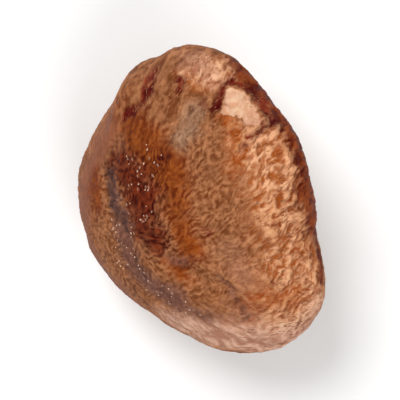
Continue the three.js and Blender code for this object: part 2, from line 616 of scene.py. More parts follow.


# Where each kind lies.
MARKS: dict[Zone, tuple[Mark, ...]] = {
    Zone.FLANK: (
        Mark(((0.12, 0.74), (0.05, 0.60), (0.02, 0.42), (0.09, 0.26), (0.2, 0.16)), 3.6),
    ),
    Zone.FIBRED: (
        Mark(((0.76, 0.68), (0.82, 0.58), (0.86, 0.42), (0.90, 0.24), (0.88, 0.14)), 6.0),
        Mark(((0.58, 0.92), (0.50, 0.91)), 3.2),
    ),
    Zone.PALE: (
        Mark(((0.40, 0.09), (0.55, 0.06), (0.70, 0.04), (0.82, 0.02)), 4.0),
        Mark(((0.90, 0.06), (0.97, 0.16)), 3.0, 0.6),
        Mark(((0.46, 0.96), (0.56, 0.90)), 3.0, 0.45),
        Mark(((0.62, 0.33), (0.69, 0.25), (0.71, 0.16)), 3.2, 0.28),
    ),
    Zone.AMBER: (
        Mark(((0.22, 0.74), (0.29, 0.66), (0.36, 0.60)), 3.3),
        Mark(((0.38, 0.56), (0.40, 0.44), (0.45, 0.35)), 2.8, 0.8),
        Mark(((0.07, 0.57), (0.07, 0.48)), 2.0),
        Mark(((0.45, 0.33), (0.42, 0.26)), 1.5),
        Mark(((0.22, 0.87), (0.15, 0.78)), 1.8, 0.45),
        Mark(((0.80, 0.20), (0.86, 0.17), (0.90, 0.22)), 2.1, 0.5),
        Mark(((0.63, 0.71), (0.645, 0.66)), 1.1, 0.6),
    ),
    Zone.CROWN: (
        Mark(((0.18, 0.63), (0.21, 0.58), (0.26, 0.52)), 3.4),
        Mark(((0.28, 0.48), (0.27, 0.42), (0.32, 0.355)), 2.8),
        Mark(((0.22, 0.50), (0.235, 0.39)), 1.5, 0.8),
        Mark(((0.135, 0.63), (0.14, 0.59)), 1.2, 0.8),
        Mark(((0.28, 0.59), (0.36, 0.64)), 1.4, 0.7),
    ),
    Zone.PLUM_AND_SHEEN: (
        # The first streak is painted reflection: a grey sheen down the crown's left side.
        Mark(((0.15, 0.56), (0.17, 0.46), (0.20, 0.38)), 1.3),
        Mark(((0.19, 0.39), (0.22, 0.29), (0.30, 0.22), (0.39, 0.18)), 2.4),
        Mark(((0.39, 0.17), (0.47, 0.135), (0.54, 0.12)), 2.0, 0.65),
        Mark(((0.44, 0.30), (0.38, 0.30)), 1.2, 0.7),
        Mark(((0.13, 0.76), (0.12, 0.72)), 1.0, 0.6),
    ),
    # Nearly black streaks with a painted blue-grey reflection, beside the grey one.
    Zone.SLATE_AND_SHEEN: (
        Mark(((0.135, 0.60), (0.14, 0.52), (0.155, 0.45)), 1.0, 0.9),
        Mark(((0.19, 0.44), (0.205, 0.40)), 0.7, 0.9),
        Mark(((0.245, 0.30), (0.27, 0.25)), 0.8, 0.6),
    ),
    # Dark red along the right rim, deepened with painted shade.
    Zone.DARK_RIM_AND_SHADE: (
        Mark(((0.70, 0.895), (0.80, 0.81), (0.89, 0.68), (0.93, 0.54)), 2.5),
        Mark(((0.935, 0.54), (0.96, 0.42)), 2.5, 0.9),
        Mark(((0.82, 0.79), (0.86, 0.72)), 1.5, 0.9),
        Mark(((0.63, 0.95), (0.72, 0.90)), 1.6, 0.8),
        Mark(((0.80, 0.85), (0.92, 0.68), (0.97, 0.50), (0.98, 0.42)), 1.7),
        Mark(((0.98, 0.40), (0.995, 0.30), (0.99, 0.24)), 0.9, 0.8),
        Mark(((0.85, 0.225), (0.79, 0.235)), 0.5),
    ),
    Zone.RUST: (
        Mark(((0.60, 0.77), (0.63, 0.73), (0.65, 0.70)), 1.2),
        Mark(((0.64, 0.69), (0.64, 0.61)), 1.5),
        Mark(((0.46, 0.355), (0.49, 0.34)), 1.3, 0.55),
        Mark(((0.37, 0.29), (0.45, 0.235)), 1.3, 0.5),
        Mark(((0.74, 0.17), (0.90, 0.21)), 2.8, 0.8),
        Mark(((0.86, 0.66), (0.90, 0.52), (0.925, 0.36)), 2.2),
        Mark(((0.79, 0.47), (0.79, 0.37)), 1.7, 0.8),
    ),
    Zone.BLOOM: (Mark(((0.48, 0.79), (0.46, 0.74), (0.42, 0.70)), 2.0),),
    Zone.STAIN_AND_SHADE: (
        Mark(((0.31, 0.92), (0.285, 0.86)), 1.15, 0.9),
        Mark(((0.40, 0.89), (0.41, 0.865)), 0.85),
        Mark(((0.270, 0.845), (0.262, 0.815)), 0.7),
        Mark(((0.19, 0.77), (0.22, 0.785)), 1.0),
        Mark(((0.505, 0.81), (0.545, 0.79)), 1.1, 0.7),
        Mark(((0.56, 0.80), (0.58, 0.835), (0.61, 0.865), (0.65, 0.885)), 0.6),
        # These two, along the upper right rim, are painted shade.
        Mark(((0.65, 0.88), (0.71, 0.855), (0.755, 0.81)), 1.1, 0.8),
        Mark(((0.765, 0.80), (0.79, 0.76)), 1.6, 0.75),
        Mark(((0.755, 0.745), (0.71, 0.72), (0.665, 0.705)), 0.6),
        Mark(((0.665, 0.685), (0.65, 0.665)), 0.6, 0.7),
        Mark(((0.515, 0.40), (0.53, 0.395)), 0.6, 0.9),
    ),
    Zone.BARE: (
        Mark(((0.645, 0.825), (0.675, 0.795), (0.70, 0.77)), 1.9),
        Mark(((0.60, 0.79), (0.65, 0.79)), 1.1),
    ),
    # The folds, darkened with painted shade along their lines.
    Zone.CREASE_SHADE: (
        Mark(((0.55, 0.25), (0.61, 0.205), (0.655, 0.165), (0.69, 0.12)), 0.60, 0.8),
        Mark(((0.58, 0.17), (0.66, 0.10)), 0.5, 0.5),
    ),
}

# Where the wrinkles are short and run every way, where they are long and slant one way, and where
# the flecks lie.
KNOTTED = (Mark(((0.52, 0.66), (0.62, 0.45), (0.66, 0.34)), 6.0),)
RIDGED = (
    Mark(((0.80, 0.24), (0.90, 0.22), (0.94, 0.12)), 5.0),
    Mark(((0.46, 0.94), (0.60, 0.90)), 3.6, 0.8),
)
FLECKED = (
    Mark(((0.27, 0.60), (0.24, 0.50), (0.17, 0.42), (0.20, 0.30), (0.30, 0.22), (0.42, 0.15)), 3.2),
)


class Places:
    """Finds marks on a net of points, from the model's box."""

    def __init__(self, net: np.ndarray, low: Sequence[float], high: Sequence[float]) -> None:
        """Keeps the net and the box.

        Args:
            net: Points as (ring, column, xyz).
            low: The box's lowest corner.
            high: Its highest corner.
        """
        self.net = net
        self.low, self.high = np.array(low), np.array(high)

    def on_top(self, share: tuple[float, float]) -> np.ndarray:
        """Finds the highest point of the net over a share of the box's floor.

        Args:
            share: Shares of the box's width and depth.

        Returns:
            The point.
        """
        wanted = self.low[:2] + np.array(share) * (self.high - self.low)[:2]
        flat = self.net.reshape(-1, 3)
        away = np.linalg.norm(flat[:, :2] - wanted, axis=1)
        near = away < max(0.8 * MM, away.min() * 1.05)
        return flat[near][np.argmax(flat[near][:, 2])]

    def distance(self, mark: Mark, points: np.ndarray) -> np.ndarray:
        """Measures how far points are from a mark's line.

        Args:
            mark: The mark.
            points: The points.

        Returns:
            A distance in millimetres for each point.
        """
        corners = [self.on_top(share) for share in mark.path]
        best = np.full(points.shape[:-1], np.inf)
        for start, end in zip(corners, corners[1:]):
            run = end - start
            along = np.clip((points - start) @ run / (run @ run + TINY), 0.0, 1.0)
            nearest = start + along[..., None] * run
            best = np.minimum(best, np.linalg.norm(points - nearest, axis=-1))
        return best / MM

    def strength(self, marks: Iterable[Mark], points: np.ndarray, edge: np.ndarray) -> np.ndarray:
        """Measures how strongly marks cover points.

        Args:
            marks: The marks.
            points: The points.
            edge: Noise that makes the marks' edges uneven, about -1 to 1.

        Returns:
            0 where there is none, up to 1, for each point.
        """
        uncovered = np.ones(points.shape[:-1])
        for mark in marks:
            away = self.distance(mark, points) + edge * min(0.8, 0.55 * mark.reach)
            uncovered *= 1.0 - mark.weight * bell(np.maximum(0.0, away), mark.reach)
        return 1.0 - uncovered


# ---------------------------------------------------------------- the cap


@dataclass(frozen=True)
class Strands:
    """One kind of wrinkle or fibril on the skin."""

    cells: tuple[float, float, float]  # cells of noise to a millimetre, along three directions
    apart: float  # a shift that keeps the kinds apart
    layers: int = 2

    def heights(self, noise: Noise, places: np.ndarray) -> np.ndarray:
        """Their height at each place, about -1 to 1."""
        return noise.layered(places * np.array(self.cells) + self.apart, self.layers)


# The first two run down the skin, the others slant one way over the cap.
RADIAL_WRINKLES = Strands((0.62, 0.62, 0.20), 0.0)
RADIAL_FIBRILS = Strands((1.25, 1.25, 0.36), 60.0)
SHORT_WRINKLES = Strands((0.90, 1.55, 0.90), 50.0)
WINDING_WRINKLES = Strands((0.32, 0.92, 0.32), 30.0)
LONG_WRINKLES = Strands((0.17, 1.25, 0.17), 30.0)
SHORT_FIBRILS = Strands((1.00, 1.70, 0.90), 80.0, 1)


@dataclass
class Cap:
    """The cap: wrinkled skin over the crown, the rolled margin, and the roof over the gills."""

    skin: Skin
    low: Sequence[float]
    high: Sequence[float]
    columns: int = 500
    slant: float = 48.0  # degrees, seen from above
    lumps: float = 0.34  # millimetres, as are the next ones
    wrinkles: float = 0.44
    fibrils: float = 0.15
    pores: float = 0.05
    stains: float = 0.40
    creases: float = 0.7
    torn: float = 0.40
    torn_rim: float = 0.28

    def rows(self) -> np.ndarray:
        """Spaces the cap's rings, closer together where they show.

        Returns:
            Distances down the skin.
        """
        s = self.skin
        roof_top = s.gills_from + ROOF_RUN
        stops = [0.5 * MM, s.rim_at, s.margin_at, s.gills_from, roof_top, s.gills_to]
        gaps = [0.35 * MM, 0.42 * MM, 0.45 * MM, 0.6 * MM, 1.2 * MM]
        parts = [
            np.linspace(a, b, max(2, round((b - a) / gap)), endpoint=False)
            for a, b, gap in zip(stops, stops[1:], gaps)
        ]
        return np.concatenate([*parts, [stops[-1]]])

    def build(self) -> bpy.types.Object:
        """Makes the cap's mesh with its relief and the values its finish reads.

        Returns:
            The cap.
        """
        s = self.skin
        rows = self.rows()
        net = Sweep(s.sweep(rows, self.columns), rows)
        places = Places(net.points, self.low, self.high)
        mm = net.points / MM
        noise = Noise(SEED)
        fine = noise.layered(mm / 1.2, 2)
        zones = self._zones(places, noise, fine)
        leaning = zones[Zone.FIBRED]
        crest, fibril = self._fibres(net, places, noise, fine, blend_in(leaning, 0.15, 0.6))
        outwards = np.clip(net.distance / s.rim_at, 0.0, 1.0)
        on_top = 1.0 - blend_in(net.distance, s.rim_at, s.margin_at)
        outside = 1.0 - blend_in(net.distance, s.gills_from - 1.5 * MM, s.gills_from)
        bare = blend_in(zones[Zone.BARE], 0.42, 0.56)

        rough = 0.30 + 0.70 * leaning + 0.35 * zones[Zone.DARK_RIM_AND_SHADE] - 0.15 * zones[Zone.FLANK]
        rough *= (1.0 - 0.8 * zones[Zone.BARE]) * (0.25 + 0.75 * blend_in(outwards, 0.2, 0.6))
        rough = rough * on_top + 0.40 * (1.0 - on_top)
        relief = self.lumps * noise.layered(mm / 9.0 + 11.0, 2) * on_top
        relief += self.wrinkles * rough * (crest - 0.5)
        relief += self.fibrils * (0.5 + rough) * (fibril - 0.5)
        relief += self.pores * fine * on_top
        relief -= self.stains * zones[Zone.STAIN_AND_SHADE] * (0.8 + 0.5 * fine)
        relief -= self.creases * zones[Zone.CREASE_SHADE]
        relief -= self.torn * bare * (1.0 + 0.25 * noise.layered(mm / 4.5 + 40.0, 3))
        relief += self.torn_rim * bell(zones[Zone.BARE] - 0.34, 0.10) * (1.0 + 0.6 * fine)
        relief *= outside * blend_in(net.distance, 0.0, 3.0 * MM)
        points = net.points + net.normals() * (relief * MM)[..., None]
        points = points + s.axis * s.roof(net.distance)[..., None]

        hairy = np.maximum(leaning, 0.5 * blend_in(outwards, 0.4, 0.7)) * on_top
        fields = {zone.value: strength for zone, strength in zones.items()}
        fields |= {
            "crest": crest,
            "fibril": fibril,
            "outwards": outwards,
            "under": 1.0 - on_top,
            "roof": 1.0 - outside,
            "flecked": places.strength(FLECKED, net.points, fine),
            "hairy": hairy * (1.0 - 0.9 * zones[Zone.DARK_RIM_AND_SHADE]) * (1.0 - bare),
            "downhill": net.downhill(),
            "chart": net.chart(s.radius) / MM,
        }
        crown = s.sweep(np.array([0.0]), 8)[0].mean(0)
        last = points[-1].mean(0) + s.axis * 0.5 * MM
        return closed_mesh("cap", points, crown, last, fields)

    def _zones(self, places: Places, noise: Noise, fine: np.ndarray) -> dict[Zone, np.ndarray]:
        """Finds how strongly each kind of colour covers the cap, with winding edges.

        Args:
            places: The places on the cap's net.
            noise: The noise that winds the edges.
            fine: Fine noise over the net.

        Returns:
            The strength of each zone, for each point.
        """
        mm = places.net / MM
        shift = [
            noise.at(mm / 4.0 + 7.0 * axis) * 0.9 + noise.at(mm / 1.6 + 9.0 * axis) * 0.45
            for axis in (1, 2, 3)
        ]
        nearby = places.net + np.stack(shift, 2) * MM
        return {zone: places.strength(marks, nearby, fine) for zone, marks in MARKS.items()}

    def _fibres(
        self, net: Sweep, places: Places, noise: Noise, fine: np.ndarray, slant: np.ndarray
    ) -> tuple[np.ndarray, np.ndarray]:
        """Draws the wrinkles and fibrils.

        Args:
            net: The cap's net.
            places: The places on it.
            noise: The noise they are drawn with.
            fine: Fine noise over the net.
            slant: 0 where they run down the skin, 1 where they all slant one way.

        Returns:
            Two heights from 0 in a valley to 1 on a crest: wrinkles and fibrils.
        """
        mm = net.points / MM
        chart = net.chart(self.skin.radius) / MM
        knotted = places.strength(KNOTTED, net.points, fine)
        ridged = places.strength(RIDGED, net.points, fine)
        sway = np.stack([noise.at(mm / 5.0 + 20.0 * i) for i in range(3)], 2)
        curl = np.stack([noise.at(mm / 1.7 + 20.0 * i) for i in range(3)], 2)
        radial = chart + sway * np.array([1.5, 1.5, 2.2]) + curl * 0.35
        lean = math.radians(self.slant)
        across = (math.cos(lean), math.sin(lean), 0.0)
        onward = (-math.sin(lean), math.cos(lean), 0.0)
        turned = mm @ np.stack([across, onward, (0.0, 0.0, 1.0)], 1)
        slanted = turned + sway * 1.6 + curl * 0.45
        spread = blend_in(chart[..., 2] / (self.skin.rim_at / MM), 0.3, 0.72) * (1.0 - knotted)
        short = 0.75 * SHORT_WRINKLES.heights(noise, slanted)
        winding = WINDING_WRINKLES.heights(noise, slanted)
        winding = winding + ridged * (LONG_WRINKLES.heights(noise, slanted) - winding)
        crest = spread * RADIAL_WRINKLES.heights(noise, radial) + (1.0 - spread) * short
        crest = crest + slant * (winding - crest)
        fibril = SHORT_FIBRILS.heights(noise, slanted)
        thin = RADIAL_FIBRILS.heights(noise, radial)
        fibril = fibril + spread * (1.0 - slant) * (thin - fibril)
        return blend_in(crest, -0.6, 0.6), blend_in(fibril, -0.6, 0.6)


@dataclass(frozen=True)
class Pair:
    """The colours of a patch of skin, in its valleys and on its crests, and how it comes in."""

    deep: tuple[float, float, float]
    pale: tuple[float, float, float]
    cover: float = 0.9  # how fully it hides what is under it
    edges: tuple[float, float] = (0.15, 0.75)  # the strengths between which it comes in
    frayed: float = 1.0  # how uneven its edge is
    crests: float = 1.0  # how much of it comes on the crests


# Each kind's colours, in the order in which they cover each other.
BASE = Pair(tone(104, 52, 20), tone(172, 114, 76))
PAIRS: dict[Zone, Pair] = {
    Zone.FLANK: Pair(tone(118, 64, 40), tone(148, 92, 66), 0.95, (0.03, 0.70)),
    Zone.FIBRED: Pair(tone(156, 78, 26), tone(230, 174, 132), 1.0, (0.10, 0.85)),
    Zone.PALE: Pair(tone(164, 112, 88), tone(216, 174, 150), 0.95, (0.05, 0.80)),
    Zone.AMBER: Pair(tone(96, 32, 2), tone(146, 74, 24), 0.95, (0.08, 0.80)),
    Zone.CROWN: Pair(tone(54, 2, 0), tone(114, 40, 12), 0.97, (0.06, 0.95), 1.7),
    # Violet skin, and the painted grey reflection along the first streak.
    Zone.PLUM_AND_SHEEN: Pair(tone(70, 38, 32), tone(138, 94, 78), 0.92, (0.06, 0.90), 0.8),
    # Nearly black, greyer on the crests as painted reflection.
    Zone.SLATE_AND_SHEEN: Pair(tone(40, 20, 18), tone(96, 66, 60), 0.9, (0.08, 0.85), 0.6),
    Zone.RUST: Pair(tone(142, 60, 4), tone(206, 130, 68), 0.95, (0.04, 0.95), 1.4, 0.35),
    # Dark red, deepened with painted shade along the rim.
    Zone.DARK_RIM_AND_SHADE: Pair(tone(78, 10, 2), tone(144, 68, 30), 0.97, (0.08, 0.75)),
    Zone.BLOOM: Pair(tone(104, 74, 52), tone(176, 142, 116), 0.70, (0.10, 1.05)),
    # Dark stains, and painted shade along the upper right rim.
    Zone.STAIN_AND_SHADE: Pair(tone(72, 0, 0), tone(126, 40, 18), 1.0, (0.12, 0.85), 1.5),
    # Painted shade in the folds.
    Zone.CREASE_SHADE: Pair(tone(96, 54, 40), tone(146, 98, 76), 0.85, (0.10, 0.85), 0.3),
    Zone.BARE: Pair(tone(206, 150, 116), tone(226, 184, 152), 1.0, (0.40, 0.56), 0.25),
}
MARGIN = Pair(tone(140, 90, 58), tone(196, 148, 110))  # rolled under the cap
ROOF = Pair(tone(206, 176, 132), tone(232, 210, 172))  # over the gills


@dataclass(frozen=True)
class CapSkin(Finish):
    """The cap's finish: two colours for each patch of skin, one for valleys and one for crests."""

    name: str = "cap_skin"
    clouds: float = 230.0  # patches of noise to a metre, as are the next ones
    mottling: float = 760.0
    grains: float = 2300.0
    bends: float = 420.0
    lead: float = 0.10  # how much earlier a patch comes in valleys than on crests
    drift: float = 0.30  # how far the colours drift from place to place
    gloss: float = 0.05
    bump: float = 0.22 * MM

    def sockets(self, tree: Tree) -> dict[str, Any]:
        """Builds what feeds the shader.

        Args:
            tree: The material's tree.

        Returns:
            Values or links by the name of the shader's socket.
        """
        place = tree.place()
        cloud = tree.noise(place, self.clouds, 5.0, 0.62) - 0.5
        mottle = tree.noise(place, self.mottling, 4.0, 0.62) - 0.5
        grain = tree.noise(place, self.grains, 2.0) - 0.5
        thread = self._threads(tree, place)
        raised = self._height(tree, mottle, thread, grain)
        under = tree.number("under").step(0.1, 0.9) * 0.85
        deep = tree.mixed(under, BASE.deep, MARGIN.deep)
        pale = tree.mixed(under, BASE.pale, MARGIN.pale)
        for zone, pair in PAIRS.items():
            strength = tree.number(zone.value)
            present = strength.step(0.02, 0.3)
            uneven = cloud * 0.28 + mottle * 0.32 + thread * 0.30
            uneven = strength + uneven * present * pair.frayed
            lead = present * (self.lead * pair.frayed)
            in_valleys = (uneven + lead).step(*pair.edges) * pair.cover
            on_crests = (uneven - lead).step(*pair.edges) * (pair.cover * pair.crests)
            deep = tree.mixed(in_valleys, deep, pair.deep)
            pale = tree.mixed(on_crests, pale, pair.pale)
        roof = tree.number("roof").step(0.2, 0.9)
        deep = tree.mixed(roof, deep, ROOF.deep)
        pale = tree.mixed(roof, pale, ROOF.pale)
        darker, lighter = (0.27, 0.25, 0.24), (0.71, 0.70, 0.69)
        drift = tree.mixed((cloud * 1.3 + 0.5).step(0.15, 0.85), darker, lighter)
        colour = tree.mixed(self.drift, tree.mixed(raised, deep, pale), drift, "OVERLAY")
        return {
            "Base Color": colour,
            "Roughness": 0.50 + grain * 0.3 + raised * 0.16,
            "Specular IOR Level": self.gloss,
            "Normal": tree.bump(raised * 0.7 + grain * 0.5, self.bump, 0.8),
        }

    def _threads(self, tree: Tree, place: Value) -> Value:
        """Draws fine threads that run down the skin and fade towards the crown.

        Args:
            tree: The material's tree.
            place: Where each spot is.

        Returns:
            Their height, about -0.5 to 0.5.
        """
        inputs = {"Vector": place, "Scale": self.bends, "Detail": 2.0}
        bent = tree.node("ShaderNodeTexNoise", {}, inputs, "Color")
        bent = tree.stretched(bent, (2.4, 2.4, 4.0))
        chart = tree.vectors("ADD", tree.vector("chart"), bent)
        thread = tree.noise(tree.stretched(chart, (2.2, 2.2, 0.5)), 1.0, 3.0, 0.6) - 0.5
        return thread * tree.number("outwards").step(0.5, 0.9)

    def _height(self, tree: Tree, mottle: Value, thread: Value, grain: Value) -> Value:
        """Adds up what makes a spot a valley or a crest.

        Args:
            tree: The material's tree.
            mottle: Noise in small patches.
            thread: Noise in threads.
            grain: Fine noise.

        Returns:
            0 in a valley to 1 on a crest, and closer to a half where the skin is smooth.
        """
        raised = tree.number("crest") * 0.50 + tree.number("fibril") * 0.30
        raised = (raised + mottle * 0.75 + thread * 0.45 + grain * 0.35).step(0.00, 0.86)
        smooth = tree.number("flank").most(tree.number("plum_and_sheen")) * 0.5
        return raised + smooth * (0.5 - raised)


# ---------------------------------------------------------------- what grows from geometry nodes


class Growth:
    """A Geometry Nodes tree with named inputs that grows a mesh on a guide."""

    def __init__(self, name: str) -> None:
        """Starts an empty tree.

        Args:
            name: The tree's name.
        """
        self.group = bpy.data.node_groups.new(name, "GeometryNodeTree")
        self.tree = Tree(self.group)
        self.group.interface.new_socket("Result", in_out="OUTPUT", socket_type="NodeSocketGeometry")
        self.entry = self.group.nodes.new("NodeGroupInput")
        self.values: dict[str, Any] = {}

    def input(self, label: str, kind: str, value: Any = None) -> Value:
        """Adds a named input.

        Args:
            label: Its name.
            kind: Its type, such as Float.
            value: What the modifier sets it to.

        Returns:
            The input as a socket inside the tree.
        """
        item = self.group.interface.new_socket(label, in_out="INPUT", socket_type=f"NodeSocket{kind}")
        if value is not None:
            self.values[item.identifier] = value
        return Value(self.tree, self.entry.outputs[label])

    def named(self, label: str, kind: str = "FLOAT") -> Value:
        """A named value of the geometry."""
        settings = {"data_type": kind}
        return self.tree.node("GeometryNodeInputNamedAttribute", settings, {"Name": label})

    def index(self) -> Value:
        """The number of each point or copy."""
        return self.tree.node("GeometryNodeInputIndex", {}, {})

    def stored(self, geometry: Value, label: str, value: Value, domain: str) -> Value:
        """Writes a named number on the geometry.

        Args:
            geometry: The geometry.
            label: The number's name.
            value: The number.
            domain: What holds it, POINT or INSTANCE.

        Returns:
            The geometry with the number on it.
        """
        settings = {"data_type": "FLOAT", "domain": domain}
        inputs = {"Geometry": geometry, "Name": label, "Value": value}
        return self.tree.node("GeometryNodeStoreNamedAttribute", settings, inputs)

    def chance(self, low: float, high: float, key: Value, seed: Value) -> Value:
        """A random number for each key; the same key and seed always draw alike."""
        inputs = {2: low, 3: high, "ID": key, "Seed": seed}  # 2 and 3 are for single numbers
        return self.tree.node("FunctionNodeRandomValue", {"data_type": "FLOAT"}, inputs, 1)

    def joined(self, x: Any, y: Any, z: Any) -> Value:
        """A vector from three numbers."""
        return self.tree.node("ShaderNodeCombineXYZ", {}, {0: x, 1: y, 2: z})

    def copies(self, thing: Value, points: Value, extra: dict[str, Value]) -> Value:
        """Puts a copy of a thing on each point.

        Args:
            thing: What is copied.
            points: The points.
            extra: The copies' rotation and scale, where they have them.

        Returns:
            The copies.
        """
        inputs = {"Points": points, "Instance": thing, **extra}
        return self.tree.node("GeometryNodeInstanceOnPoints", {}, inputs)

    def real(self, geometry: Value) -> Value:
        """The geometry with its copies made real."""
        return self.tree.node("GeometryNodeRealizeInstances", {}, {"Geometry": geometry})

    def finish(self, geometry: Value, material: Value) -> None:
        """Ends the tree: copies made real, material set.

        Args:
            geometry: What has grown.
            material: The material it gets.
        """
        inputs = {"Geometry": self.real(geometry), "Material": material}
        leave = self.group.nodes.new("NodeGroupOutput")
        self.tree.feed(leave.inputs["Result"], self.tree.node("GeometryNodeSetMaterial", {}, inputs))

    def grow(self, guide: bpy.types.Object, name: str) -> bpy.types.Object:
        """Runs the tree on a guide.

        Args:
            guide: The object whose mesh the tree starts from; it isn't changed.
            name: The new piece's name.

        Returns:
            A plain mesh object.
        """
        modifier = guide.modifiers.new(name, "NODES")
        modifier.node_group = self.group
        for identifier, value in self.values.items():
            modifier[identifier] = value
        graph = bpy.context.evaluated_depsgraph_get()
        mesh = bpy.data.meshes.new_from_object(guide.evaluated_get(graph))
        guide.modifiers.remove(modifier)
        mesh.name = name
        return placed(name, mesh)


# ---------------------------------------------------------------- gills


@dataclass
class Gills:
    """Thin blades that hang from the cap's roof, some of them short of the stem."""

    skin: Skin
    blades: int = 168
    thickness: float = 0.24 * MM
    short: float = 0.44  # how far short blades reach towards the stem, as a share
    middling: float = 0.78  # how far those half way between two whole ones reach
    ragged: float = 0.28  # how uneven the free edges are, as a share of their height
    sway: float = 2.2  # how far a blade winds sideways, in blades
    sunk: float = 0.08  # how far the roots go into the roof, as a share of their height
    overlap: float = 0.05  # how much of a turn the guide runs past its start, on each side
    columns: int = 360
    rings: int = 26

    def guide(self) -> bpy.types.Object:
        """Makes a sheet over the gills with its edge, roof and chart stored on it.

        Returns:
            The sheet, which isn't a piece of the mushroom.
        """
        s = self.skin
        rows = np.linspace(s.gills_from + 0.1 * MM, s.gills_to + 1.0 * MM, self.rings)
        net = s.sweep(rows, self.columns)
        lifted = net + s.axis * s.roof(rows)[:, None, None]
        extra = round(self.overlap * self.columns)
        turn = np.arange(-extra, self.columns + extra + 1)
        edge, roof = net[:, turn % self.columns], lifted[:, turn % self.columns]
        down, across = edge.shape[:2]
        index = np.arange(down * across).reshape(down, across)
        quads = np.stack([index[:-1, :-1], index[1:, :-1], index[1:, 1:], index[:-1, 1:]], 2)
        mesh = bpy.data.meshes.new("gill guide")
        mesh.from_pydata(edge.reshape(-1, 3).tolist(), [], quads.reshape(-1, 4).tolist())
        for label, values in (("edge", edge), ("roof_at", roof)):
            attribute = mesh.attributes.new(label, "FLOAT_VECTOR", "POINT")
            attribute.data.foreach_set("vector", values.astype(np.float32).ravel())
        chart = mesh.uv_layers.new(name="chart_uv")
        corners = np.zeros(len(mesh.loops), int)
        mesh.loops.foreach_get("vertex_index", corners)
        row, column = np.divmod(corners, across)
        shares = np.stack([column / (across - 1), row / (down - 1)], 1)
        chart.data.foreach_set("uv", shares.astype(np.float32).ravel())
        return placed("gill_guide", mesh)

    def build(self, material: bpy.types.Material) -> bpy.types.Object:
        """Grows the blades on the guide.

        Args:
            material: Their finish.

        Returns:
            The gills.
        """
        growth = Growth("gill blades")
        tree = growth.tree
        guide = growth.input("Guide", "Geometry")
        count = growth.input("Blades", "Int", self.blades)
        thickness = growth.input("Thickness", "Float", self.thickness)
        ragged = growth.input("Unevenness", "Float", self.ragged)
        sway = growth.input("Sway", "Float", self.sway)
        seed = growth.input("Seed", "Int", SEED)
        finish = growth.input("Finish", "Material", material)

        # One upright slab for each blade; side, run and rise are its own three directions.
        cuts = {"Size": (1.0, 1.0, 1.0), "Vertices X": 2, "Vertices Y": 20, "Vertices Z": 4}
        slab = tree.node("GeometryNodeMeshCube", {}, cuts)
        all_at_once = {"Count": count, "Offset": (0.0, 0.0, 0.0)}
        row = tree.node("GeometryNodeMeshLine", {"mode": "OFFSET"}, all_at_once)
        copies = growth.copies(slab, row, {})
        slabs = growth.real(growth.stored(copies, "blade", growth.index(), "INSTANCE"))
        blade = growth.named("blade")
        position = tree.node("GeometryNodeInputPosition", {}, {})
        side, run, rise = (
            tree.node("ShaderNodeSeparateXYZ", {}, {0: position}, direction) for direction in "XYZ"
        )
        run, rise = run + 0.5, rise + 0.5

        # Of every four blades one is whole, one middling and two short.
        rank = blade % 4.0
        whole = 1.0 - rank.over(0.5)
        middle = rank.over(1.5) - rank.over(2.5)
        length = self.short + (1.0 - self.short) * whole + (self.middling - self.short) * middle
        length = length + growth.chance(-0.10, 0.10, blade, seed) * (1.0 - whole)
        down = run * length
        winding = tree.noise(growth.joined(blade * 0.11, down * 2.6, 3.0), 1.0, 2.0) - 0.5
        tears = tree.noise(growth.joined(blade * 0.9, down * 9.0, 7.0), 1.0, 2.0) - 0.5
        lowered = run.step(0.45, 1.0) * (1.0 - whole)
        free = (1.0 - 0.85 * lowered) * (0.96 + ragged * tears)
        height = free * (rise * (1.0 + self.sunk)) - self.sunk
        turn = (blade + 0.5 + winding * sway) / count
        across = (turn + self.overlap) / (1.0 + 2.0 * self.overlap)

        # The slab is laid between the roof and the gills' edges.
        near = 0.002  # of a turn, to find which way is sideways
        roof = self._stored_place(growth, guide, "roof_at", growth.joined(across, down, 0.0))
        edge, before, after = (
            self._stored_place(growth, guide, "edge", growth.joined(across + shift, down, 0.0))
            for shift in (0.0, -near, near)
        )
        drop = tree.scaled(tree.vectors("SUBTRACT", edge, roof), height)
        sideways = tree.vectors("NORMALIZE", tree.vectors("SUBTRACT", after, before))
        girth = tree.scaled(sideways, side * thickness * (1.25 - rise * 0.55))
        target = tree.vectors("ADD", tree.vectors("ADD", roof, drop), girth)
        slabs = growth.stored(slabs, "rise", rise, "POINT")
        moved = {"Geometry": slabs, "Position": target}
        growth.finish(tree.node("GeometryNodeSetPosition", {}, moved), finish)
        sheet = self.guide()
        gills = growth.grow(sheet, "gills")
        bpy.data.objects.remove(sheet)
        return gills

    def _stored_place(self, growth: Growth, guide: Value, label: str, spot: Value) -> Value:
        """Reads one of the places stored on the guide.

        Args:
            growth: The tree.
            guide: The guide's sheet.
            label: The stored place's name.
            spot: Where on the sheet, as shares across and down it.

        Returns:
            The place.
        """
        kind = "FLOAT_VECTOR"
        inputs = {
            "Mesh": guide,
            "Value": growth.named(label, kind),
            "Source UV Map": growth.named("chart_uv", kind),
            "Sample UV": spot,
        }
        return growth.tree.node("GeometryNodeSampleUVSurface", {"data_type": kind}, inputs)


